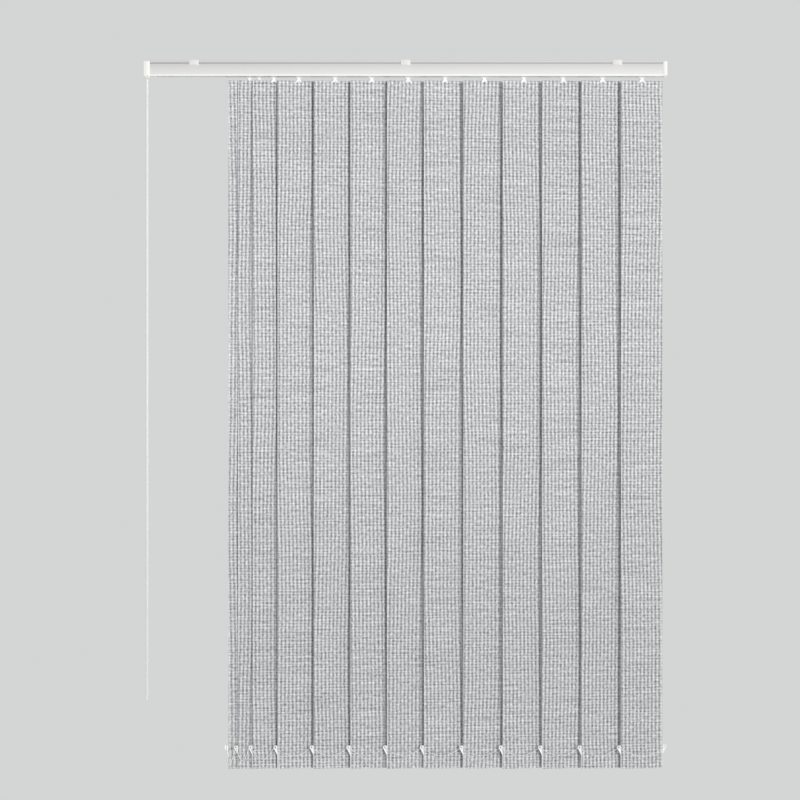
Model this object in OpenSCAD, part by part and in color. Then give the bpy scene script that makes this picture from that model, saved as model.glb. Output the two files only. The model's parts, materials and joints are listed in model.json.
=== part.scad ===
// Vertical blind with thirteen fabric slats, partly drawn to the right
// Units are millimetres. X runs along the headrail, the room side faces minus Y, Z is up
// The origin is on the ceiling plane over the middle bracket

/* [Slats] */
// Width of one fabric slat
slat_width = 89; // [75:1:127]
// Length of a slat from top edge to bottom edge
slat_drop = 1409; // [600:1:2400]
// Turn of the slats from the plane of the headrail at rest
slat_tilt = 15; // [15:1:40]
// Width by which closed slats cover each other
slat_overlap = 8.3; // [6:0.1:15]
// Thickness of the fabric at its ribs
fabric_thickness = 1.4; // [0.8:0.1:1.8]
// Number of woven ribs across a slat
fabric_ribs = 11; // [8:1:16]
// Height of the pocket sewn at the bottom
bottom_hem = 38; // [36:1:60]

/* [Headrail] */
// Depth of the headrail from front to back
rail_depth = 40; // [38:0.5:52]
// Height of the headrail
rail_height = 31; // [30:0.5:42]
// Wall of the aluminium profile
rail_wall = 1.4; // [1.2:0.1:2]
// Width of the slot along the underside
slot_width = 14; // [13.5:0.5:16]
// Length of headrail left beyond the outer slat at each end
end_margin = 8.3; // [8:0.1:30]
// Gap from the headrail to the top edge of the slats
slat_gap = 8.7; // [8:0.1:14]

/* [Carriers] */
// Distance between carriers when they are stacked
stack_pitch = 18; // [17.5:0.5:24]
// Thickness of one spacer strip
strip_thickness = 0.5; // [0.4:0.1:0.7]
// Diameter of the tilt rod
rod_diameter = 6; // [5:0.5:6.5]

/* [Brackets] */
// Width of one ceiling bracket along the headrail
bracket_width = 20; // [16:1:30]
// Thickness of the bracket plate
bracket_thickness = 2.2; // [1.6:0.1:3]
// Diameter of the screw hole in a bracket
screw_hole = 4.5; // [4:0.1:6]

/* [Control] */
// Length of the control cord below the headrail
cord_drop = 1280; // [500:1:1800]
// Thickness of the control cord
cord_diameter = 3.6; // [3:0.1:4]
// Thickness of the bottom chain between the slats
link_diameter = 2.2; // [1.6:0.1:2.4]

/* [Hidden] */
// Overlap that joins two solids
eps = 0.05;
// Overshoot of a cut past a surface
past = 1;
slats = 13;
full_pitch = slat_width - slat_overlap;
// Width of a turned slat seen from the front
proj = slat_width*cos(slat_tilt);
rail_length = (slats - 1)*full_pitch + proj + 2*end_margin;
// Share of the full pitch from each slat to the next as drawn
gap_share = [0.244, 0.368, 0.634, 0.921, 0.931, 0.926, 0.936, 1, 1, 1, 1, 1];
// Play left between carriers that are nearly stacked
stack_play = 0.4;
function gap(k) = max(stack_pitch + stack_play, gap_share[k - 1]*full_pitch);
function pivot(k) = k == slats ? rail_length/2 - end_margin - proj/2 : pivot(k + 1) - gap(k);

// Headrail: top, bottom, rod height, inner floor, half depth
zt = -bracket_thickness;
zb = zt - rail_height;
zr = (zt + zb)/2;
floor_z = zb + rail_wall;
hd = rail_depth/2;
xl = -rail_length/2;
xr = rail_length/2;
// Groove that the brackets clip into, and the lip along the bottom edge
groove_depth = 1.6;
groove_top = 3.4;
groove_low = 5.7;
groove_slope = 0.5;
lip = 0.6;
lip_height = 3.4;
lip_slope = 0.8;
side = rail_wall + groove_depth;

// End housings: visible length, plug inside the headrail, edge radius, running fit
housing_length = 12.3;
cap_length = 8.5;
housing_plug = 16;
cap_plug = 14;
edge_radius = 1.6;
rod_fit = 0.4;
slot_fit = 0.4;
// Cord guides, foot and latch under the housings
guide_half = 4.4;
guide_wall = 1.8;
guide_height = 2.6;
cord_fit = 0.6;
foot_diameter = 4.4;
foot_height = 4;
foot_inset = 1.9;
latch_height = 2;
latch_inset = 8;
latch_length = 6.4;

// Cord wheel: cord radius on the wheel, width, axle and fit in the housing
wheel_r = 11;
wheel_x = xl + 6.1;
wheel_half = 3.2;
wheel_rim = 1.6;
rim_edge = 0.5;
groove_fit = 0.3;
axle_diameter = 4.8;
axle_length = 4.2;
axle_end = 2;
wheel_fit = 0.4;
turn_fit = 0.8;

// Brackets: distance from the headrail's ends, clip with its lip, and its nose in the groove
bracket_inset = 102.5;
clip_wall = 1.5;
clip_drop = 9.6;
clip_radius = 1.4;
clip_lip = 0.8;
nose_drop = 5.2;
nose_height = 1.1;
nose_fit = 0.2;

// Tilt rod: depth and width of its flats, plain ends at the bearings
flat_depth = 0.8;
plain_end = 20;

// Carriers: length, half depth, lift over the floor, shoe, neck in the slot
carrier_play = 3;
carrier_length = stack_pitch - carrier_play;
carrier_half = 14.5;
carrier_lift = 0.3;
carrier_bottom = floor_z + carrier_lift;
carrier_top = zr + 8.2;
shoe_height = 4;
shoe_fit = 0.5;
neck_half = 6.3;
neck_fit = 0.8;
neck_drop = 0.8;
rod_bore_fit = 1;
// Spacer strips: middle line, width, height of each level and the window they pass
strip_y = -9.2;
strip_half = 2.8;
strip_step = 1.1;
strip_levels = ceil((full_pitch + carrier_length/2)/stack_pitch);
strip_z = zr - 2.8;
strip_hold = 1.4;
strip_free = 0.7;
strip_reach = strip_levels*stack_pitch - carrier_length/2 - strip_free;
window_side = 0.6;
window_low = 0.35;

// Slats: top and bottom edge, rib depth, pockets
st = zb - slat_gap;
sb = st - slat_drop;
rib_depth = 0.25;
hem = max(1.4, fabric_thickness/2 + 0.7);
hem_extra = 0.2;
top_hem = 16;
pocket_fit = 0.3;
pocket_roof = 2;
pocket_base = 1.2;
bottom_pocket = bottom_hem - 1.6;
slit_half = 3.7;

// Fittings: hook head and stem in the carrier, upper arms, fork, pin and hanger
head_diameter = 11.2;
head_height = 4.4;
head_fit = 0.4;
stem_diameter = 5.6;
stem_z = carrier_bottom + 2;
arm_gap = 0.4;
arm_out = 7.6;
arm_in = 4.8;
notch_rise = 1.6;
fork_half = 2.6;
fork_wall = 1.2;
fork_top = 2.1;
waist_half = 2.4;
waist_rise = 2.6;
crotch_drop = 1.6;
leg_out = 7;
leg_in = 4.4;
leg_drop = 5.1;
pin_rise = 1.3;
pin_z = st + pin_rise;
pin_r = 1.1;
pin_fit = 0.2;
hanger_half = 0.75;
hanger_inset = 3;
tab_half = slit_half - pocket_fit;
tab_rise = 1.8;
corner = 2;

// Weight in the bottom pocket, and the ears that hold the bottom chain
weight_half = 0.9;
weight_out = 0.7;
weight_height = 32.3;
ear_reach = 5;
ear_rise = 44;
ear_x = slat_width/2 + ear_reach;
ear_z = sb + ear_rise;
ear_r = 3.6;
ear_hole = 1.6;
ear_gap = 0.3;
ear_length = 16;
ear_root = 2;

// Bottom chain: sag of each run, where it leaves the ears
sags = [28, 25.5, 22, 15, 15, 15, 15, 15, 15, 15, 15, 15, 17];
chain_out = 3.3;
chain_neck = 2.2;
chain_low = 1.4;
chain_start = 1.6;
chain_stop = 2.8;

white = [0.95, 0.95, 0.94];
cloth = [0.77, 0.77, 0.78];
steel = [0.75, 0.76, 0.78];

function unit(v) = v/norm(v);
// Ring of points around a path point, square to the path
function ring_at(p, t, ref, r, n) = let(a = unit(cross(ref, t)), b = cross(t, a))
    [for (i = [0:n - 1]) p + r*(cos(360*i/n)*a + sin(360*i/n)*b)];
function tan_at(p, i) = unit(p[min(i + 1, len(p) - 1)] - p[max(i - 1, 0)]);
function tan_loop(p, i) = unit(p[(i + 1) % len(p)] - p[(i + len(p) - 1) % len(p)]);
// Tube along an open path
module tube(p, r, ref, n = 8) {
    m = len(p);
    pts = [for (i = [0:m - 1]) each ring_at(p[i], tan_at(p, i), ref, r, n)];
    faces = concat([[for (j = [0:n - 1]) j]],
        [for (i = [0:m - 2]) for (j = [0:n - 1]) each [
            [i*n + j, (i + 1)*n + j, (i + 1)*n + (j + 1) % n],
            [i*n + j, (i + 1)*n + (j + 1) % n, i*n + (j + 1) % n]]],
        [[for (j = [0:n - 1]) (m - 1)*n + n - 1 - j]]);
    polyhedron(pts, faces);
}
// Tube along a closed path
module ring_tube(p, r, ref, n = 8) {
    m = len(p);
    pts = [for (i = [0:m - 1]) each ring_at(p[i], tan_loop(p, i), ref, r, n)];
    faces = [for (i = [0:m - 1]) for (j = [0:n - 1]) each [
        [i*n + j, ((i + 1) % m)*n + j, ((i + 1) % m)*n + (j + 1) % n],
        [i*n + j, ((i + 1) % m)*n + (j + 1) % n, i*n + (j + 1) % n]]];
    polyhedron(pts, faces);
}
// Cylinder along X from x0 to x1
module xcyl(x0, x1, r, y = 0, z = 0) {
    translate([x0, y, z]) rotate([0, 90, 0]) cylinder(r = r, h = x1 - x0, $fn = 48);
}
// Cylinder along Y from y0 to y1
module ycyl(y0, y1, r, x = 0, z = 0) {
    translate([x, y1, z]) rotate([90, 0, 0]) cylinder(r = r, h = y1 - y0, $fn = 32);
}
// Box from corner to corner
module box(a, b) {
    translate(a) cube(b - a);
}
// Bar along X whose long edges are rounded
module bar(x0, x1, y, z0, z1, r) {
    box([x0, -y, z0 + r], [x1, y, z1 - r]);
    box([x0, -y + r, z0], [x1, y - r, z1]);
    for (s = [-1, 1]) for (z = [z0 + r, z1 - r]) xcyl(x0, x1, r, s*(y - r), z);
}
// Plate that faces Y, with rounded corners
module round_plate(x, y0, y1, z0, z1, r) {
    box([-x, y0, z0 + r], [x, y1, z1 - r]);
    box([-x + r, y0, z0], [x - r, y1, z1]);
    for (s = [-1, 1]) for (z = [z0 + r, z1 - r]) ycyl(y0, y1, r, s*(x - r), z);
}
// Plate that faces Y, from an outline
module plate(pts, y0, y1) {
    translate([0, y1, 0]) rotate([90, 0, 0]) linear_extrude(y1 - y0) polygon(pts);
}

// One side of the headrail's section, from the top round the groove and the lip to the slot
function rail_half(s) = [
    [s*hd, zt], [s*hd, zt - groove_top],
    [s*(hd - groove_depth), zt - groove_top - groove_slope], [s*(hd - groove_depth), zt - groove_low],
    [s*hd, zt - groove_low - groove_slope], [s*hd, zb + lip_height + lip_slope],
    [s*(hd + lip), zb + lip_height], [s*(hd + lip), zb + lip], [s*hd, zb],
    [s*slot_width/2, zb], [s*slot_width/2, floor_z],
    [s*(hd - side), floor_z], [s*(hd - side), zt - rail_wall]];

// Aluminium channel, open along the underside
module headrail() {
    n = len(rail_half(1)) - 1;
    color(white) translate([xl + housing_length, 0, 0]) rotate([90, 0, 90])
        linear_extrude(rail_length - housing_length - cap_length)
            polygon(concat(rail_half(-1), [for (i = [n:-1:0]) rail_half(1)[i]]));
}

// End housing over the cord wheel, with a plug into the headrail
module control_end() {
    x1 = xl + housing_length;
    color(white) difference() {
        union() {
            bar(xl, x1, hd + lip, zb, zt, edge_radius);
            box([x1 - eps, -(hd - side), floor_z], [x1 + housing_plug, hd - side, zt - rail_wall]);
            // guides that the cord leaves through
            for (s = [-1, 1])
                box([wheel_x - guide_half, s*wheel_r - cord_diameter/2 - guide_wall, zb - guide_height],
                    [wheel_x + guide_half, s*wheel_r + cord_diameter/2 + guide_wall, zb + past]);
            // latch in the slot
            box([x1 + latch_inset, -slot_width/2 + slot_fit, zb - latch_height],
                [x1 + latch_inset + latch_length, slot_width/2 - slot_fit, floor_z + eps]);
            // round foot beside the cord
            translate([x1 - foot_inset, -hd + foot_diameter/2, zb - foot_height])
                cylinder(d = foot_diameter, h = foot_height + past, $fn = 32);
        }
        xcyl(wheel_x - wheel_half - wheel_fit, wheel_x + wheel_half + wheel_fit,
            wheel_r + wheel_rim + turn_fit, 0, zr);
        for (s = [-1, 1])
            box([wheel_x - cord_diameter/2 - turn_fit, s*wheel_r - cord_diameter/2 - cord_fit,
                zb - guide_height - past],
                [wheel_x + cord_diameter/2 + turn_fit, s*wheel_r + cord_diameter/2 + cord_fit, zr]);
        // bearings for the wheel and for the tilt rod
        xcyl(wheel_x - axle_length - rod_fit, wheel_x, axle_diameter/2 + rod_fit, 0, zr);
        xcyl(wheel_x, x1 + housing_plug + past, rod_diameter/2 + rod_fit, 0, zr);
    }
}

// Plain cap on the other end, with a bearing for the tilt rod and a tongue in the slot
module far_end_cap() {
    x0 = xr - cap_length;
    color(white) difference() {
        union() {
            bar(x0, xr, hd + lip, zb, zt, edge_radius);
            box([x0 - cap_plug, -(hd - side), floor_z], [x0 + eps, hd - side, zt - rail_wall]);
            box([x0, -slot_width/2 + slot_fit, zb - latch_height],
                [xr - edge_radius, slot_width/2 - slot_fit, zb + past]);
        }
        xcyl(x0 - cap_plug - past, xr - cap_length/2, rod_diameter/2 + rod_fit, 0, zr);
    }
}

// Three spring clips that hold the headrail to the ceiling
module brackets() {
    bx = rail_length/2 - bracket_inset;
    nose = groove_depth - nose_fit;
    color(white) for (x = [-bx, 0, bx]) translate([x, 0, 0]) difference() {
        union() {
            box([-bracket_width/2, -hd - clip_wall, zt], [bracket_width/2, hd + clip_wall, 0]);
            for (q = [0, 180]) rotate([0, 0, q]) {
                round_plate(bracket_width/2, hd, hd + clip_wall, zt - clip_drop, zt + clip_radius, clip_radius);
                xcyl(-bracket_width/2 + clip_radius, bracket_width/2 - clip_radius, clip_lip,
                    hd + clip_wall, zt - clip_drop + clip_lip);
                box([-bracket_width/2 + clip_radius, hd - nose, zt - nose_drop],
                    [bracket_width/2 - clip_radius, hd + eps, zt - nose_drop + nose_height]);
            }
        }
        translate([0, 0, zt - past]) cylinder(d = screw_hole, h = bracket_thickness + 2*past, $fn = 32);
    }
}

// Rod that turns the slats, with three flats along it and a round end at each bearing
module tilt_rod() {
    color(steel) difference() {
        xcyl(wheel_x - axle_end, xr - cap_length/2 - rod_fit, rod_diameter/2, 0, zr);
        for (q = [0:120:240]) translate([0, 0, zr]) rotate([q, 0, 0])
            box([xl + housing_length + plain_end, rod_diameter/2 - flat_depth, -flat_depth],
                [xr - cap_length - plain_end, rod_diameter, flat_depth]);
    }
}

// Grooved wheel that the control cord runs over
module cord_wheel() {
    g = wheel_r - cord_diameter/2 - groove_fit;
    rim = wheel_r + wheel_rim;
    in = wheel_half - rim_edge;
    bed = cord_diameter/2 + groove_fit;
    color(white) difference() {
        union() {
            translate([wheel_x, 0, zr]) rotate([0, 90, 0]) rotate_extrude($fn = 64)
                polygon([[0, -wheel_half], [rim, -wheel_half], [rim, -in], [g, -bed],
                    [g, bed], [rim, in], [rim, wheel_half], [0, wheel_half]]);
            xcyl(wheel_x - axle_length, wheel_x, axle_diameter/2, 0, zr);
        }
        xcyl(wheel_x - axle_end, wheel_x + wheel_half + past, rod_diameter/2, 0, zr);
    }
}

// Endless control cord over the wheel
loop_z = zb - cord_drop + wheel_r;
leg_steps = 7;
control_path = concat(
    [for (q = [0:15:180]) [wheel_x, -wheel_r*cos(q), zr + wheel_r*sin(q)]],
    [for (i = [1:leg_steps - 1]) [wheel_x, wheel_r, zr + (loop_z - zr)*i/leg_steps]],
    [for (q = [0:15:180]) [wheel_x, wheel_r*cos(q), loop_z - wheel_r*sin(q)]],
    [for (i = [leg_steps - 1:-1:1]) [wheel_x, -wheel_r, zr + (loop_z - zr)*i/leg_steps]]);
module control_cord() {
    color(white) ring_tube(control_path, cord_diameter/2, [1, 0, 0]);
}

// Glider in the headrail, with its spacer strip and a bearing for the slat's stem
module carrier(k) {
    x = pivot(k);
    half = carrier_length/2;
    shoe = hd - side - shoe_fit;
    roll = shoe_height/2;
    z = strip_z + (k % strip_levels)*strip_step;
    color(white) difference() {
        union() {
            difference() {
                union() {
                    bar(x - half, x + half, carrier_half, carrier_bottom, carrier_top, edge_radius);
                    // shoe whose round ends roll along the floor of the headrail
                    box([x - half + roll, -shoe, carrier_bottom],
                        [x + half - roll, shoe, carrier_bottom + shoe_height]);
                    for (s = [-1, 1]) ycyl(-shoe, shoe, roll, x + s*(half - roll), carrier_bottom + roll);
                    // neck through the slot
                    box([x - neck_half, -slot_width/2 + neck_fit, zb - neck_drop],
                        [x + neck_half, slot_width/2 - neck_fit, carrier_bottom + past]);
                }
                // window that the neighbours' strips pass through
                box([x - carrier_length, strip_y - strip_half - window_side, strip_z - window_low],
                    [x + carrier_length, strip_y + strip_half + window_side,
                    strip_z + strip_levels*strip_step]);
            }
            if (k > 1) {
                box([x - half, strip_y - strip_half - strip_hold, z],
                    [x + half, strip_y + strip_half + strip_hold, z + strip_thickness]);
                box([x - strip_reach, strip_y - strip_half, z],
                    [x, strip_y + strip_half, z + strip_thickness]);
            }
        }
        xcyl(x - carrier_length, x + carrier_length, rod_diameter/2 + rod_bore_fit, 0, zr);
        translate([x, 0, stem_z - carrier_lift])
            cylinder(d = head_diameter + 2*head_fit, h = head_height + 2*carrier_lift, $fn = 48);
        translate([x, 0, zb - neck_drop - past])
            cylinder(d = stem_diameter + 2*head_fit, h = stem_z - zb + neck_drop + past, $fn = 48);
    }
}

// Fabric of one slat with woven ribs and a pocket at each end
module slat(k) {
    n = 2*fabric_ribs;
    f = fabric_thickness/2;
    w = slat_width/2;
    cut = w + past;
    ys = [for (i = [0:n]) i % 2 == 0 ? f - rib_depth : f];
    pts = concat([for (i = [0:n]) [-w + slat_width*i/n, -ys[i]]],
        [for (i = [n:-1:0]) [-w + slat_width*i/n, ys[i]]]);
    color(cloth) translate([pivot(k), 0, 0]) rotate([0, 0, slat_tilt]) difference() {
        union() {
            translate([0, 0, sb]) linear_extrude(slat_drop) polygon(pts);
            bar(-w, w, hem, st - top_hem, st, hem/2);
            bar(-w, w, hem + hem_extra, sb, sb + bottom_hem, hem/2);
        }
        box([-cut, -hanger_half, st - top_hem + pocket_roof], [cut, hanger_half, st - pocket_roof]);
        box([-slit_half, -hanger_half, st - pocket_roof - past], [slit_half, hanger_half, st + past]);
        box([-cut, -weight_half, sb + pocket_base], [cut, weight_half, sb + bottom_pocket]);
    }
}

// White fittings of one slat: hook with its stem, hanger in the top pocket, weight in the bottom pocket
module fittings(k) {
    color(white) translate([pivot(k), 0, 0]) rotate([0, 0, slat_tilt]) {
        hook();
        hanger();
        weight();
    }
}
// Stem with a hook of two X-shaped plates, whose legs splay over the slat's top edge
module hook() {
    base = zb - neck_drop - arm_gap;
    waist = pin_z + waist_rise;
    foot = pin_z - leg_drop;
    right = [[arm_in, base], [arm_out, base], [waist_half, waist], [leg_out, foot], [leg_in, foot]];
    outline = concat([[0, waist + notch_rise]], right, [[0, pin_z - crotch_drop]],
        [for (i = [len(right) - 1:-1:0]) [-right[i][0], right[i][1]]]);
    translate([0, 0, stem_z]) cylinder(d = head_diameter, h = head_height, $fn = 48);
    translate([0, 0, base]) cylinder(d = stem_diameter, h = stem_z - base + eps, $fn = 48);
    box([-fork_half, -hem - fork_wall, pin_z + fork_top], [fork_half, hem + fork_wall, base + eps]);
    for (q = [0, 180]) rotate([0, 0, q]) plate(outline, hem, hem + fork_wall);
    ycyl(-hem - fork_wall/2, hem + fork_wall/2, pin_r, 0, pin_z);
}
// Flat bar in the top pocket, with a tab that hangs on the hook's pin
module hanger() {
    difference() {
        union() {
            round_plate(slat_width/2 - hanger_inset, -hanger_half, hanger_half,
                st - top_hem + pocket_roof + pocket_fit, st - pocket_roof - pocket_fit, corner);
            round_plate(tab_half, -hanger_half, hanger_half,
                st - pocket_roof - corner, pin_z + tab_rise, corner/2);
        }
        ycyl(-past, past, pin_r + pin_fit, 0, pin_z);
    }
}
// Flat weight in the bottom pocket, with an ear at each end that tapers down along the slat's edge
module weight() {
    top = sb + pocket_base + weight_height;
    edge = slat_width/2;
    tip = [edge + weight_out, ear_z - ear_length];
    reach = [ear_x, ear_z] - tip;
    // slope at which the ear's outer side runs from its tip on to its round end
    lean = atan2(reach[0], reach[1]) + asin(ear_r/norm(reach));
    outline = [[edge + ear_gap, ear_z + ear_r], [ear_x, ear_z + ear_r],
        [ear_x + ear_r*cos(lean), ear_z - ear_r*sin(lean)], tip, [edge - ear_root, top - corner],
        [edge + ear_gap, top]];
    difference() {
        union() {
            round_plate(edge + weight_out, -weight_half, weight_half, sb + pocket_base, top, corner);
            for (q = [0, 180]) rotate([0, 0, q]) plate(outline, -weight_half, weight_half);
            for (s = [-1, 1]) ycyl(-weight_half, weight_half, ear_r, s*ear_x, ear_z);
        }
        for (s = [-1, 1]) ycyl(-past, past, ear_hole, s*ear_x, ear_z);
    }
}

// Bottom chain from the front ear of one slat to the next, and across the last slat
function turn(v) = [v[0]*cos(slat_tilt) - v[1]*sin(slat_tilt), v[0]*sin(slat_tilt) + v[1]*cos(slat_tilt), v[2]];
function ear(k, s) = [pivot(k), 0, ear_z] + turn([s*ear_x, 0, 0]);
function leave(s) = [s*chain_start, -chain_out, -chain_low];
function run_start(k) = k < slats ? leave(1) : turn(leave(1));
function run_end(k) = k < slats ? ear(k + 1, -1) + [-chain_stop, -chain_out, -chain_low]
    : ear(k, 1) + turn(leave(-1));
function run_path(k) = let(a = ear(k, -1), n = turn([0, -chain_neck, 0]), p = a + run_start(k), q = run_end(k))
    concat([a, a + n],
        [for (i = [0:8]) let(u = i/8) p + (q - p)*u - [0, 0, 4*sags[k - 1]*u*(1 - u)]],
        k < slats ? [] : [ear(k, 1) + n, ear(k, 1)]);
module chain_run(k) {
    color(white) tube(run_path(k), link_diameter/2, unit([-0.4, 0.5, 0.77]));
}

headrail();
control_end();
far_end_cap();
brackets();
tilt_rod();
cord_wheel();
control_cord();
carrier(1);  // carrier_01
carrier(2);  // carrier_02
carrier(3);  // carrier_03
carrier(4);  // carrier_04
carrier(5);  // carrier_05
carrier(6);  // carrier_06
carrier(7);  // carrier_07
carrier(8);  // carrier_08
carrier(9);  // carrier_09
carrier(10);  // carrier_10
carrier(11);  // carrier_11
carrier(12);  // carrier_12
carrier(13);  // carrier_13
slat(1);  // slat_01
slat(2);  // slat_02
slat(3);  // slat_03
slat(4);  // slat_04
slat(5);  // slat_05
slat(6);  // slat_06
slat(7);  // slat_07
slat(8);  // slat_08
slat(9);  // slat_09
slat(10);  // slat_10
slat(11);  // slat_11
slat(12);  // slat_12
slat(13);  // slat_13
fittings(1);  // fittings_01
fittings(2);  // fittings_02
fittings(3);  // fittings_03
fittings(4);  // fittings_04
fittings(5);  // fittings_05
fittings(6);  // fittings_06
fittings(7);  // fittings_07
fittings(8);  // fittings_08
fittings(9);  // fittings_09
fittings(10);  // fittings_10
fittings(11);  // fittings_11
fittings(12);  // fittings_12
fittings(13);  // fittings_13
chain_run(1);  // chain_run_01
chain_run(2);  // chain_run_02
chain_run(3);  // chain_run_03
chain_run(4);  // chain_run_04
chain_run(5);  // chain_run_05
chain_run(6);  // chain_run_06
chain_run(7);  // chain_run_07
chain_run(8);  // chain_run_08
chain_run(9);  // chain_run_09
chain_run(10);  // chain_run_10
chain_run(11);  // chain_run_11
chain_run(12);  // chain_run_12
chain_run(13);  // chain_run_13
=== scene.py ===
"""Vertical blind: thirteen woven slats on a white headrail, turned a little and partly drawn aside."""

import json
import math

import bmesh
import bpy
from mathutils import Matrix, Vector

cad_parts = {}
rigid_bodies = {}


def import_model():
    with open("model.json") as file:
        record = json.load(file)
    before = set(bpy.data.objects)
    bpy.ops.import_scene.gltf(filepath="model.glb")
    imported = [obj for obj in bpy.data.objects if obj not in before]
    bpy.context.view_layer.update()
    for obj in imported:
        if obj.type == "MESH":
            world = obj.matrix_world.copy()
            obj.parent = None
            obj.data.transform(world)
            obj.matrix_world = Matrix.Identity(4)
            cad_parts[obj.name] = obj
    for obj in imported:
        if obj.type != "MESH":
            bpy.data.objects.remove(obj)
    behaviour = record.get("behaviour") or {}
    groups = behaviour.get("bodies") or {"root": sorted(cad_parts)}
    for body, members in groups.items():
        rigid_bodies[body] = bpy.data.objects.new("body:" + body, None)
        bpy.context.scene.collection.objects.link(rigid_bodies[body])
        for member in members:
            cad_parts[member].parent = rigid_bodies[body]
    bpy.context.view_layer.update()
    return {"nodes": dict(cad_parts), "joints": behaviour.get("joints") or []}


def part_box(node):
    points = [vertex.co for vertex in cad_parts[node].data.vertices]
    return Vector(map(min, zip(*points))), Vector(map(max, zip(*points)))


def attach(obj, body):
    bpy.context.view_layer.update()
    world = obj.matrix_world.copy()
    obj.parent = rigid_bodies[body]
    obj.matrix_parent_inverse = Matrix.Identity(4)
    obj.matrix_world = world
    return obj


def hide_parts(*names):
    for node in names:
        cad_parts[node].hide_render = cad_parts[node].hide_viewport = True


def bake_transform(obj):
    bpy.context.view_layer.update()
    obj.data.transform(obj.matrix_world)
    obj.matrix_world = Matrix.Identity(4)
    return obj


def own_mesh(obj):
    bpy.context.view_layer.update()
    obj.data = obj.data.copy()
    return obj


for obj in list(bpy.data.objects):
    bpy.data.objects.remove(obj)
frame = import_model()
nodes = frame["nodes"]
joints = {j["name"]: j for j in frame["joints"]}

# sizes that the part's source gives, in metres
MM = 0.001
SLATS = range(1, 14)
LAST = SLATS[-1]
TILT = math.radians(15)
PIVOT = {k: joints[f"tilt_{k:02d}"]["pos_m"][0] for k in SLATS}
SLAT_WIDTH = 89 * MM
SLAT_LOW, SLAT_TOP = (corner.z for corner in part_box("slat_01"))
EAR_REACH = 5 * MM
EAR_RISE = 44 * MM
EAR_X = SLAT_WIDTH / 2 + EAR_REACH
EAR_Z = SLAT_LOW + EAR_RISE
RAIL_MIDDLE = -17.7 * MM
# top and bottom of the headrail's groove, in mm below its top
GROOVE = (3.4, 6.0)
# how far each run of the bottom chain sags
SAGS = [s * MM for s in (28, 25.5, 22, 15, 15, 15, 15, 15, 15, 15, 15, 15, 17)]

# bottom chain: beads, their pitch, the thread and the steps of its line
BEAD = 2.8 * MM
BEAD_PITCH = 11 * MM
THREAD = 0.9 * MM
LINE_STEP = 2 * MM
# where the thread comes out of an ear, leaves it and comes to the next one
THROUGH = 2.2 * MM
LEAVE = Vector((1.6, -3.3, -1.4)) * MM
ARRIVE = Vector((-2.8, -3.3, -1.4)) * MM
# steps that the halves of a run lap past its middle, and the turn of one half's facets
LAP = 4
FAR_SPIN = math.pi / 8

# cloth: its thickness in mm, its ribs and threads, and the grid of its mesh
CLOTH = 0.6
RIB = SLAT_WIDTH / 11
RIB_RELIEF = 0.15 * MM
WEFT = 5.95 * MM
YARN = 1.7 * MM
COLUMNS = 66
ROWS = 44
# slow drift of the ribs along the cloth: size and length of each wave
DRIFT = ((3.0 * MM, 1.1), (0.8 * MM, 0.43), (0.25 * MM, 0.12))
# steps across and along the roll from one slat's cut to the next
ROLL_ACROSS = 0.31
ROLL_ALONG = 0.47
# radius of the cloth's fold at its top and at its hem, in mm
TOP_FOLD = 1.05
HEM_FOLD = 1.2
# the slit for the hanger's tab: half its width and its depth
SLIT = (3.9 * MM, 1.9 * MM)
# painted highlight: a pale strip along the cloth's cut edges, where they catch the light
HIGHLIGHT_STRIP = 1.3 * MM
# height in mm of the flat pockets at the top and bottom, and of the fade into the ribs
TOP_FLAT = 14
LOW_FLAT = 36
RIB_FADE = 8


# camera, level with the middle of the slats and square to the headrail
VIEW_WIDTH = 1.6376
CAMERA = Vector((-0.0113, -8.0, -0.696))
SLAT_FRONT = -0.012
SENSOR = 36
camera = bpy.data.objects.new("camera", bpy.data.cameras.new("camera"))
camera.location = CAMERA
camera.rotation_euler = (math.pi / 2, 0, 0)
camera.data.sensor_width = SENSOR
camera.data.lens = SENSOR * (SLAT_FRONT - CAMERA.y) / VIEW_WIDTH
bpy.context.scene.collection.objects.link(camera)
bpy.context.scene.camera = camera
bpy.context.scene.view_settings.view_transform = "Standard"


# materials

def linear(colour):
    """An sRGB hex colour as the linear one that shaders take."""
    channels = [int(colour[i:i + 2], 16) / 255 for i in (1, 3, 5)]
    return [c / 12.92 if c <= 0.04045 else ((c + 0.055) / 1.055) ** 2.4 for c in channels] + [1.0]


def add(tree, kind, links=(), **settings):
    """Adds a node with its settings, and links or sets its inputs."""
    node = tree.nodes.new(kind)
    for key, value in settings.items():
        setattr(node, key, value)
    for key, value in dict(links).items():
        if isinstance(value, bpy.types.NodeSocket):
            tree.links.new(value, node.inputs[key])
        else:
            node.inputs[key].default_value = value
    return node


def calc(tree, operation, *values):
    """One step of arithmetic on sockets or numbers."""
    return add(tree, "ShaderNodeMath", enumerate(values), operation=operation).outputs[0]


def wave(tree, kind, place, length):
    """A sine or cosine of a place, one wave in each length."""
    return calc(tree, kind, calc(tree, "MULTIPLY", place, 2 * math.pi / length))


def noise(tree, vector, scale):
    """Noise whose features are about as wide as each of scale, in metres."""
    sized = add(tree, "ShaderNodeMapping", {"Vector": vector, "Scale": [1 / s for s in scale]})
    links = {"Vector": sized.outputs[0], "Scale": 1.0, "Detail": 2.0}
    return add(tree, "ShaderNodeTexNoise", links).outputs[0]


def ramp(tree, factor, *stops):
    """A colour that changes along a factor, from stop to stop."""
    node = add(tree, "ShaderNodeValToRGB", {"Fac": factor})
    elements = node.color_ramp.elements
    while len(elements) < len(stops):
        elements.new(0.5)
    for element, (place, colour) in zip(elements, stops):
        element.position = place
        element.color = linear(colour)
    return node.outputs["Color"]


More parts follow.
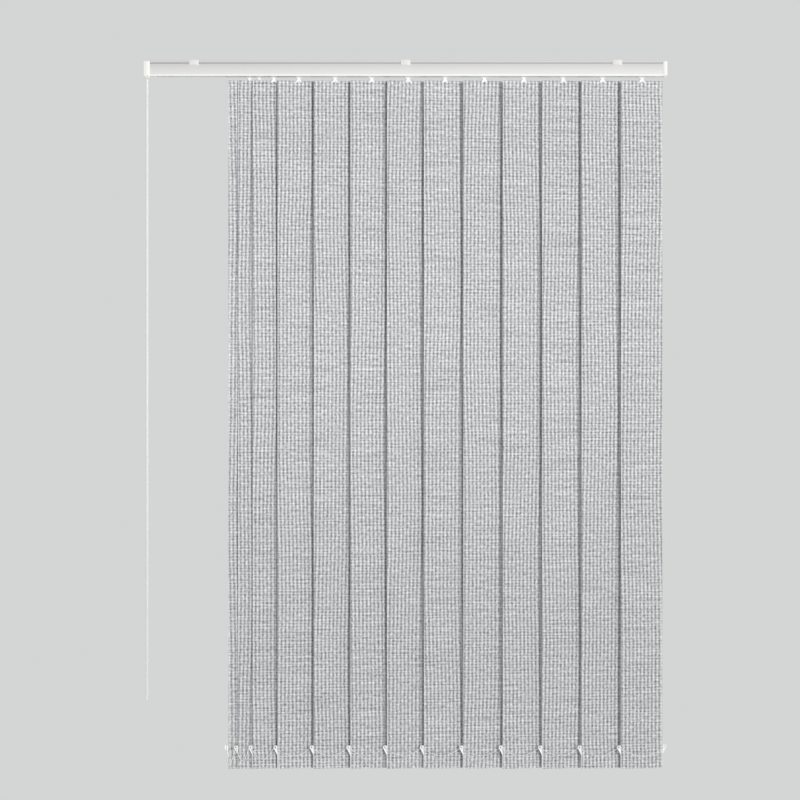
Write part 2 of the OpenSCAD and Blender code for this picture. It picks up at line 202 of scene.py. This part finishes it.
def surface(name, **inputs):
    """A new material with its node tree and shader."""
    material = bpy.data.materials.new(name)
    material.use_nodes = True
    tree = material.node_tree
    shader = tree.nodes["Principled BSDF"]
    for key, value in inputs.items():
        shader.inputs[key.replace("_", " ")].default_value = value
    return material, tree, shader


def object_place(tree):
    """The place of a point in its object, in metres."""
    return add(tree, "ShaderNodeTexCoord").outputs["Object"]


def dress(tree, shader, colour, height, depth, strength=1.0):
    """Links a colour and a bump of the given depth in metres to a shader."""
    tree.links.new(colour, shader.inputs["Base Color"])
    bump = add(tree, "ShaderNodeBump", {"Height": height, "Distance": depth, "Strength": strength})
    tree.links.new(bump.outputs[0], shader.inputs["Normal"])


def woven_fabric():
    """Matt grey polyester weave: pale upright ribs with dark gaps between them, crossed by uneven threads."""
    material, tree, shader = surface("woven_polyester_grey", Roughness=0.92, Sheen_Weight=0.06)
    uv = add(tree, "ShaderNodeUVMap", uv_map="cloth").outputs[0]
    across, down, _ = add(tree, "ShaderNodeSeparateXYZ", {0: uv}).outputs
    wander = 0.0
    for size, length in DRIFT:
        wander = calc(tree, "MULTIPLY_ADD", wave(tree, "SINE", down, length), size, wander)
    place = calc(tree, "ADD", across, wander)
    rib = wave(tree, "COSINE", place, RIB)
    uneven = noise(tree, uv, (0.03, 0.012, 1))
    weft = wave(tree, "COSINE", calc(tree, "MULTIPLY_ADD", uneven, 0.006, down), WEFT)
    thread = noise(tree, uv, (0.12, 0.0032, 1))
    slub = noise(tree, uv, (0.0042, 0.0065, 1))
    # single yarns, over and under each other
    yarn = calc(tree, "MULTIPLY", wave(tree, "COSINE", place, YARN), wave(tree, "COSINE", down, YARN))
    fibre = noise(tree, uv, (0.0004, 0.0004, 1))
    # the crossing threads show most in the gaps between the ribs
    gap = calc(tree, "MULTIPLY_ADD", rib, -0.5, 0.8)
    # each layer lifts and lowers the tone by its share
    tone = 0.5
    for layer, share in ((rib, 0.24), (calc(tree, "MULTIPLY", weft, gap), 0.14),
                         (calc(tree, "SUBTRACT", thread, 0.5), 0.6),
                         (calc(tree, "SUBTRACT", slub, 0.5), 1.1),
                         (yarn, 0.13), (calc(tree, "SUBTRACT", fibre, 0.5), 0.5)):
        tone = calc(tree, "MULTIPLY_ADD", layer, share, tone)
    # painted highlight: the cloth is lightened near its cut edges, where they catch the light
    edge = add(tree, "ShaderNodeAttribute", attribute_name="edge").outputs["Fac"]
    colour = calc(tree, "MULTIPLY_ADD", edge, 0.3, tone)
    colour = ramp(tree, colour, (0.0, "#747677"), (0.5, "#c2c4c5"), (1.0, "#f8f9f9"))
    dress(tree, shader, colour, tone, 0.0004, 0.3)
    return material


def powder_coat():
    """White satin powder coat: a fine orange peel, painted shade in the groove and a painted sheen that
    lightens the face down to the lower lip.
    """
    material, tree, shader = surface("powder_coated_aluminium_white", Roughness=0.55, Specular_IOR_Level=0.2)
    place = object_place(tree)
    height = add(tree, "ShaderNodeSeparateXYZ", {0: place}).outputs[2]
    low, high = (corner.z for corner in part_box("headrail"))
    fall = add(tree, "ShaderNodeMapRange", {0: height, 1: high, 2: low}).outputs[0]
    top, bottom = (depth * MM / (high - low) for depth in GROOVE)
    face = (0.0, "#dbdad8"), (top, "#d6d5d3")
    # painted shade: the groove is coloured darker because little light reaches into it
    groove = (top + 0.01, "#bbbab8"), (bottom, "#c3c2c0"), (bottom + 0.015, "#d9d8d6")
    # painted sheen: the face lightens downwards to a near-white lower lip, as if the coat reflected the
    # bright floor
    lip = (0.85, "#eeedeb"), (0.9, "#fdfdfb")
    peel = noise(tree, place, (0.0012, 0.0012, 0.0012))
    dress(tree, shader, ramp(tree, fall, *face, *groove, *lip), peel, 0.00006)
    return material


def moulded(name, dark, light, roughness):
    """White moulded plastic: slightly warm, with a faint flow mottle and a fine spark-eroded grain."""
    material, tree, shader = surface(name, Roughness=roughness, IOR=1.48)
    place = object_place(tree)
    flow = noise(tree, place, (0.006, 0.006, 0.012))
    grain = noise(tree, place, (0.0006, 0.0006, 0.0006))
    dress(tree, shader, ramp(tree, flow, (0.3, dark), (0.7, light)), grain, 0.00004)
    return material


def drawn_aluminium():
    """Bare drawn rod: grey metal with fine lines along its length."""
    material, tree, shader = surface("drawn_aluminium", Metallic=1.0, Roughness=0.34)
    lines = noise(tree, object_place(tree), (0.06, 0.0004, 0.0004))
    dress(tree, shader, ramp(tree, lines, (0.3, "#b9bbbe"), (0.7, "#cfd1d3")), lines, 0.00003)
    return material


def braided_cord():
    """Smooth white polyester braid: close slanting strands with shallow valleys between them."""
    material, tree, shader = surface("braided_polyester_white", Roughness=0.7, Sheen_Weight=0.3)
    place = object_place(tree)
    x, _, z = add(tree, "ShaderNodeSeparateXYZ", {0: place}).outputs
    strand = wave(tree, "COSINE", calc(tree, "MULTIPLY_ADD", x, 1.6, z), 0.0021)
    cloud = noise(tree, place, (0.004, 0.004, 0.012))
    tone = calc(tree, "MULTIPLY_ADD", strand, 0.2, cloud)
    dress(tree, shader, ramp(tree, tone, (0.2, "#f4f4f2"), (0.8, "#ffffff")), strand, 0.0001)
    return material


FABRIC = woven_fabric()
COAT = powder_coat()
HOUSING = moulded("moulded_nylon_white", "#f1f0ec", "#f7f6f2", 0.42)
FITTING = moulded("moulded_acetal_white", "#f5f5f3", "#fcfcfb", 0.36)
PAINT = moulded("painted_spring_steel_white", "#e6e5e2", "#efeeeb", 0.45)
BEADS = moulded("bead_chain_plastic_white", "#f3f3f1", "#fafaf8", 0.3)
METAL = drawn_aluminium()
BRAID = braided_cord()


# pieces

def piece(name, data, material, body, slot, *replaced):
    """A dressed piece that rides on a body, or is left without one where body is None."""
    obj = bpy.data.objects.new(name, data)
    bpy.context.scene.collection.objects.link(obj)
    data.materials.append(material)
    if body:
        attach(obj, body)
    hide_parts(*replaced)
    return obj


def smooth_mesh(name, bm):
    """A smooth-shaded mesh from a bmesh, which is then freed."""
    mesh = bpy.data.meshes.new(name)
    bm.to_mesh(mesh)
    bm.free()
    mesh.shade_smooth()
    return mesh


def along(points):
    """Length of a route."""
    return sum((b - a).length for a, b in zip(points, points[1:]))


def arc(first, steps):
    """Angles of a half turn."""
    return [first + math.pi * i / steps for i in range(steps + 1)]


def control_cord():
    """Endless cord that hangs in a long loop from the housing: down in front, round and up behind."""
    low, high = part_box("control_cord")
    x = (low.x + high.x) / 2
    thick = high.x - low.x
    r = (high.y - low.y - thick) / 2
    bottom = low.z + thick / 2 + r
    legs = 24
    down = [Vector((x, -r, RAIL_MIDDLE + (bottom - RAIL_MIDDLE) * i / legs)) for i in range(legs)]
    bend = [Vector((x, -r * math.cos(a), bottom - r * math.sin(a))) for a in arc(0, 16)]
    up = [Vector((x, r, p.z)) for p in reversed(down)]
    route = down + bend + up
    curve = bpy.data.curves.new("control_cord_braid", "CURVE")
    curve.dimensions = "3D"
    curve.bevel_depth = thick / 2
    curve.bevel_resolution = 3
    curve.use_fill_caps = True
    spline = curve.splines.new("POLY")
    spline.points.add(len(route) - 1)
    for point, place in zip(spline.points, route):
        point.co = (*place, 1)
    obj = piece("control_cord_braid", curve, BRAID, "headrail_body", "cord_white", "control_cord")


def slat_frame(k):
    """A slat's own frame, X across it and its face to minus Y, in the row frame."""
    return Matrix.Translation((PIVOT[k], 0, 0)) @ Matrix.Rotation(TILT, 4, "Z")


def ear(k, side):
    """Middle of the hole in a slat's front or rear ear."""
    return slat_frame(k) @ Vector((side * EAR_X, 0, EAR_Z))


def chain_route(k, steps=60):
    """Bottom chain from the front ear of one slat to the next, or across the last slat."""
    face = Matrix.Rotation(TILT, 3, "Z")
    out = face @ Vector((0, -THROUGH, 0))
    start = ear(k, -1)
    if k < LAST:
        first, last, tail = start + LEAVE, ear(k + 1, -1) + ARRIVE, []
    else:
        stop = ear(k, 1)
        first, last = start + face @ LEAVE, stop + face @ Vector((-LEAVE.x, LEAVE.y, LEAVE.z))
        tail = [stop + out, stop]
    hang = [first.lerp(last, u) - Vector((0, 0, 4 * SAGS[k - 1] * u * (1 - u)))
            for u in (i / steps for i in range(steps + 1))]
    return [start, start + out] + hang + tail


def spaced(points, pitch):
    """Points along a route at an even pitch."""
    count = max(2, round(along(points) / pitch))
    step = along(points) / count
    out, run, target = [points[0]], 0.0, step
    for a, b in zip(points, points[1:]):
        size = (b - a).length
        while len(out) < count and run + size >= target:
            out.append(a.lerp(b, (target - run) / size))
            target += step
        run += size
    return out + [points[-1]]


def bead_run(name, k, line, beads, body, spin=0.0):
    """Beads moulded on a thin thread that follows a line, as one cord of the bottom chain."""
    bm = bmesh.new()
    around = Matrix.Rotation(spin, 4, "Z")
    for place in beads:
        bmesh.ops.create_uvsphere(bm, u_segments=12, v_segments=8, radius=BEAD / 2,
                                  matrix=Matrix.Translation(place) @ around)
    for a, b in zip(line, line[1:]):
        turn = (b - a).to_track_quat("Z", "Y").to_matrix().to_4x4() @ around
        bmesh.ops.create_cone(bm, segments=8, radius1=THREAD / 2, radius2=THREAD / 2, depth=(b - a).length,
                              matrix=Matrix.Translation((a + b) / 2) @ turn)
    bmesh.ops.recalc_face_normals(bm, faces=bm.faces)
    obj = piece(name, smooth_mesh(name, bm), BEADS, body, "chain_white", f"chain_run_{k:02d}")
    return obj


def bottom_chain(k):
    """Run of small white beads between two front ears, or across the last slat."""
    name, own, after = f"bead_run_{k:02d}", f"run_{k:02d}", f"run_{k + 1:02d}"
    beads = spaced(chain_route(k), BEAD_PITCH)[1:-1]
    line = spaced(chain_route(k), LINE_STEP)
    if k == LAST:
        bead_run(name, k, line, beads, f"blade_{k:02d}")
        return
    if f"run_slide_{k:02d}" in joints:
        obj = bead_run(name, k, line, beads, None)
        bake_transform(obj)
        return
    # stacked slats close the run up towards the ears
    slide = f"traverse_{k:02d}"
    if joints[slide]["range_m"][0] > -MM:
        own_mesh(bead_run(name, k, line, beads, own))
        return
    # a run that can open further is in two halves, which lap at its lowest point
    middle = len(line) // 2
    near, far = line[:middle + LAP + 1], line[:middle - LAP - 1:-1]
    near_beads = [p for p in beads if p.x < near[-1].x]
    far_beads = [p for p in beads if p.x > far[-1].x]
    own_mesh(bead_run(name, k, near, near_beads, own))
    other = bead_run(f"{name}_far", k, far, far_beads, after, FAR_SPIN)
    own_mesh(other)


def cloth_section():
    """Middle line of a slat's cloth, from the flap behind its top edge to the flap of its bottom hem."""
    def fold(z, r, first):
        return [(r * math.cos(a), z + r * math.sin(a)) for a in arc(first, 6)]

    def in_metres(points, base):
        return [(y * MM, base + z * MM) for y, z in points]

    top, low = SLAT_TOP, SLAT_LOW
    # each point is a depth and a height in mm, from the top edge or the bottom edge
    down = [(TOP_FOLD, -13.9), (TOP_FOLD, -8), (TOP_FOLD, -2)]
    flap = [(0.62, -17.6), (0.8, -15.8)] + down
    front = [(-y, z) for y, z in reversed(down)] + [(-0.6, -16.6), (0, -20)]
    hem = [(-0.6, 40)] + [(-HEM_FOLD, z) for z in (36.6, 25, 14, 3)]
    back = [(HEM_FOLD, z) for z in (3, 14, 25, 36)] + [(0.8, 37.6), (0.62, 39)]
    upper, lower = top - 20 * MM, low + 43 * MM
    plain = [(0, upper + (lower - upper) * i / ROWS) for i in range(1, ROWS + 1)]
    over = fold(top - (TOP_FOLD + CLOTH / 2) * MM, TOP_FOLD * MM, 0)
    under = fold(low + (HEM_FOLD + CLOTH / 2) * MM, HEM_FOLD * MM, math.pi)
    return (in_metres(flap, top) + over + in_metres(front, top) + plain
            + in_metres(hem, low) + under + in_metres(back, low))


def slat(k):
    """Strip of ribbed cloth, folded over into a pocket at its top and bottom."""
    line = [Vector((0, y, z)) for y, z in cloth_section()]
    lengths = [along(line[:i + 1]) for i in range(len(line))]
    half = SLAT_WIDTH / 2
    bm = bmesh.new()
    cloth = bm.loops.layers.uv.new("cloth")
    length = bm.verts.layers.float.new("length")
    edge = bm.verts.layers.float.new("edge")
    row = [bm.verts.new(p - Vector((half, 0, 0))) for p in line]
    for vert, value in zip(row, lengths):
        vert[length] = value
    edges = [bm.edges.new(pair) for pair in zip(row, row[1:])]
    for _ in range(COLUMNS):
        made = bmesh.ops.extrude_edge_only(bm, edges=edges)["geom"]
        moved = [g for g in made if isinstance(g, bmesh.types.BMVert)]
        bmesh.ops.translate(bm, verts=moved, vec=(SLAT_WIDTH / COLUMNS, 0, 0))
        edges = [g for g in made if isinstance(g, bmesh.types.BMEdge)
                 and g.verts[0] in moved and g.verts[1] in moved]
    # each slat is cut from another stretch of the roll
    roll_x, roll_y = ROLL_ACROSS * k, ROLL_ALONG * k
    for face in bm.faces:
        for loop in face.loops:
            loop[cloth].uv = (loop.vert.co.x + roll_x, loop.vert[length] + roll_y)
    # slit in the top fold for the hanger's tab
    slit_half, slit_depth = SLIT
    slit = [f for f in bm.faces if abs(f.calc_center_median().x) < slit_half
            and f.calc_center_median().z > SLAT_TOP - slit_depth]
    bmesh.ops.delete(bm, geom=slit, context="FACES")
    # painted highlight along the cut edges, and ribs that fade out into the pockets
    for vert in bm.verts:
        vert[edge] = max(0, 1 - (half - abs(vert.co.x)) / HIGHLIGHT_STRIP)
        below_top = max(0, (SLAT_TOP - vert.co.z) / MM - TOP_FLAT) / RIB_FADE
        above_hem = max(0, (vert.co.z - SLAT_LOW) / MM - LOW_FLAT) / RIB_FADE
        run = vert[length] + roll_y
        drift = sum(size * math.sin(2 * math.pi * run / wave_length) for size, wave_length in DRIFT)
        rib = math.cos(2 * math.pi * (vert.co.x + roll_x + drift) / RIB)
        vert.co.y -= RIB_RELIEF * min(1, below_top, above_hem) * rib
    bm.transform(slat_frame(k))
    bmesh.ops.recalc_face_normals(bm, faces=bm.faces)
    name = f"slat_cloth_{k:02d}"
    obj = piece(name, smooth_mesh(name, bm), FABRIC, f"blade_{k:02d}", "slat_fabric", f"slat_{k:02d}")
    weave = obj.modifiers.new("thickness", "SOLIDIFY")
    weave.thickness = CLOTH * MM
    weave.offset = 0


def soften(node, width, material, slot, body):
    """A CAD part with its edges rounded as the real one's are."""
    bm = bmesh.new()
    bm.from_mesh(nodes[node].data)
    bmesh.ops.remove_doubles(bm, verts=bm.verts, dist=1e-6)
    bmesh.ops.dissolve_limit(bm, angle_limit=math.radians(1), verts=bm.verts, edges=bm.edges)
    sharp = [e for e in bm.edges if len(e.link_faces) == 2 and e.calc_face_angle(0) > math.radians(35)]
    bmesh.ops.bevel(bm, geom=sharp, offset=width, segments=2, profile=0.5, affect="EDGES",
                    clamp_overlap=True, material=-1)
    mesh = smooth_mesh(f"{node}_moulded", bm)
    mesh.set_sharp_from_angle(angle=math.radians(50))
    piece(mesh.name, mesh, material, body, slot, node)


control_cord()
for k in SLATS:
    bottom_chain(k)
    slat(k)

# parts that keep their CAD form, and what they are made of
for node, material in (("tilt_rod", METAL), ("cord_wheel", HOUSING),
                       *((f"carrier_{k:02d}", FITTING) for k in SLATS)):
    nodes[node].data.materials.clear()
    nodes[node].data.materials.append(material)
# parts with rounded edges, and the width of their rounding
soften("headrail", 0.3 * MM, COAT, "rail_white", "headrail_body")
soften("control_end", 0.4 * MM, HOUSING, "moulded_white", "headrail_body")
soften("far_end_cap", 0.4 * MM, HOUSING, "moulded_white", "headrail_body")
soften("brackets", 0.3 * MM, PAINT, "bracket_white", "headrail_body")
for k in SLATS:
    soften(f"fittings_{k:02d}", 0.2 * MM, FITTING, "moulded_white", f"blade_{k:02d}")


# stage: half the floor's size, its drop below the slats, its colour and its glow
FLOOR_SIZE = 3
FLOOR_DROP = 0.95
FLOOR_COLOUR = "#f4f4f3"
FLOOR_GLOW = 0.3
# colour of the studio that the camera sees, and the colour and power of its light on the part
STUDIO_SEEN = "#d4d5d5"
STUDIO_LIGHT = "#f2f3f5"
STUDIO_POWER = 0.34
SUN_ANGLE = math.radians(11)


def floor():
    """Plain pale floor well below the part."""
    bm = bmesh.new()
    bmesh.ops.create_grid(bm, x_segments=1, y_segments=1, size=FLOOR_SIZE,
                          matrix=Matrix.Translation((0, 0, SLAT_LOW - FLOOR_DROP)))
    mesh = bpy.data.meshes.new("floor")
    bm.to_mesh(mesh)
    bm.free()
    obj = bpy.data.objects.new("floor", mesh)
    bpy.context.scene.collection.objects.link(obj)
    material, _, shader = surface("floor", Roughness=0.9, Emission_Strength=FLOOR_GLOW)
    for tint in ("Base Color", "Emission Color"):
        shader.inputs[tint].default_value = linear(FLOOR_COLOUR)
    mesh.materials.append(material)


def studio():
    """Even grey surroundings that light the part softly."""
    world = bpy.data.worlds.new("studio")
    bpy.context.scene.world = world
    world.use_nodes = True
    sky = world.node_tree
    rays = add(sky, "ShaderNodeLightPath").outputs
    seen = calc(sky, "MAXIMUM", rays["Is Camera Ray"], rays["Is Glossy Ray"])
    colours = {0: seen, 6: linear(STUDIO_LIGHT), 7: linear(STUDIO_SEEN)}
    shade = add(sky, "ShaderNodeMix", colours, data_type="RGBA")
    power = calc(sky, "MULTIPLY_ADD", seen, 1 - STUDIO_POWER, STUDIO_POWER)
    back = sky.nodes["Background"]
    sky.links.new(shade.outputs[2], back.inputs["Color"])
    sky.links.new(power, back.inputs["Strength"])


def sun(name, energy, direction):
    """A soft distant lamp."""
    lamp = bpy.data.objects.new(name, bpy.data.lights.new(name, "SUN"))
    lamp.data.energy = energy
    lamp.data.angle = SUN_ANGLE
    lamp.rotation_euler = Vector(direction).to_track_quat("-Z", "Y").to_euler()
    bpy.context.scene.collection.objects.link(lamp)


floor()
studio()
# light from the right of the camera, a weaker one from below that opens the undersides, and one behind
sun("key", 1.5, (-0.3, 1.0, -0.12))
sun("fill", 0.57, (-0.3, 1.0, 0.5))
sun("back", 1.0, (0.3, -1.0, -0.4))
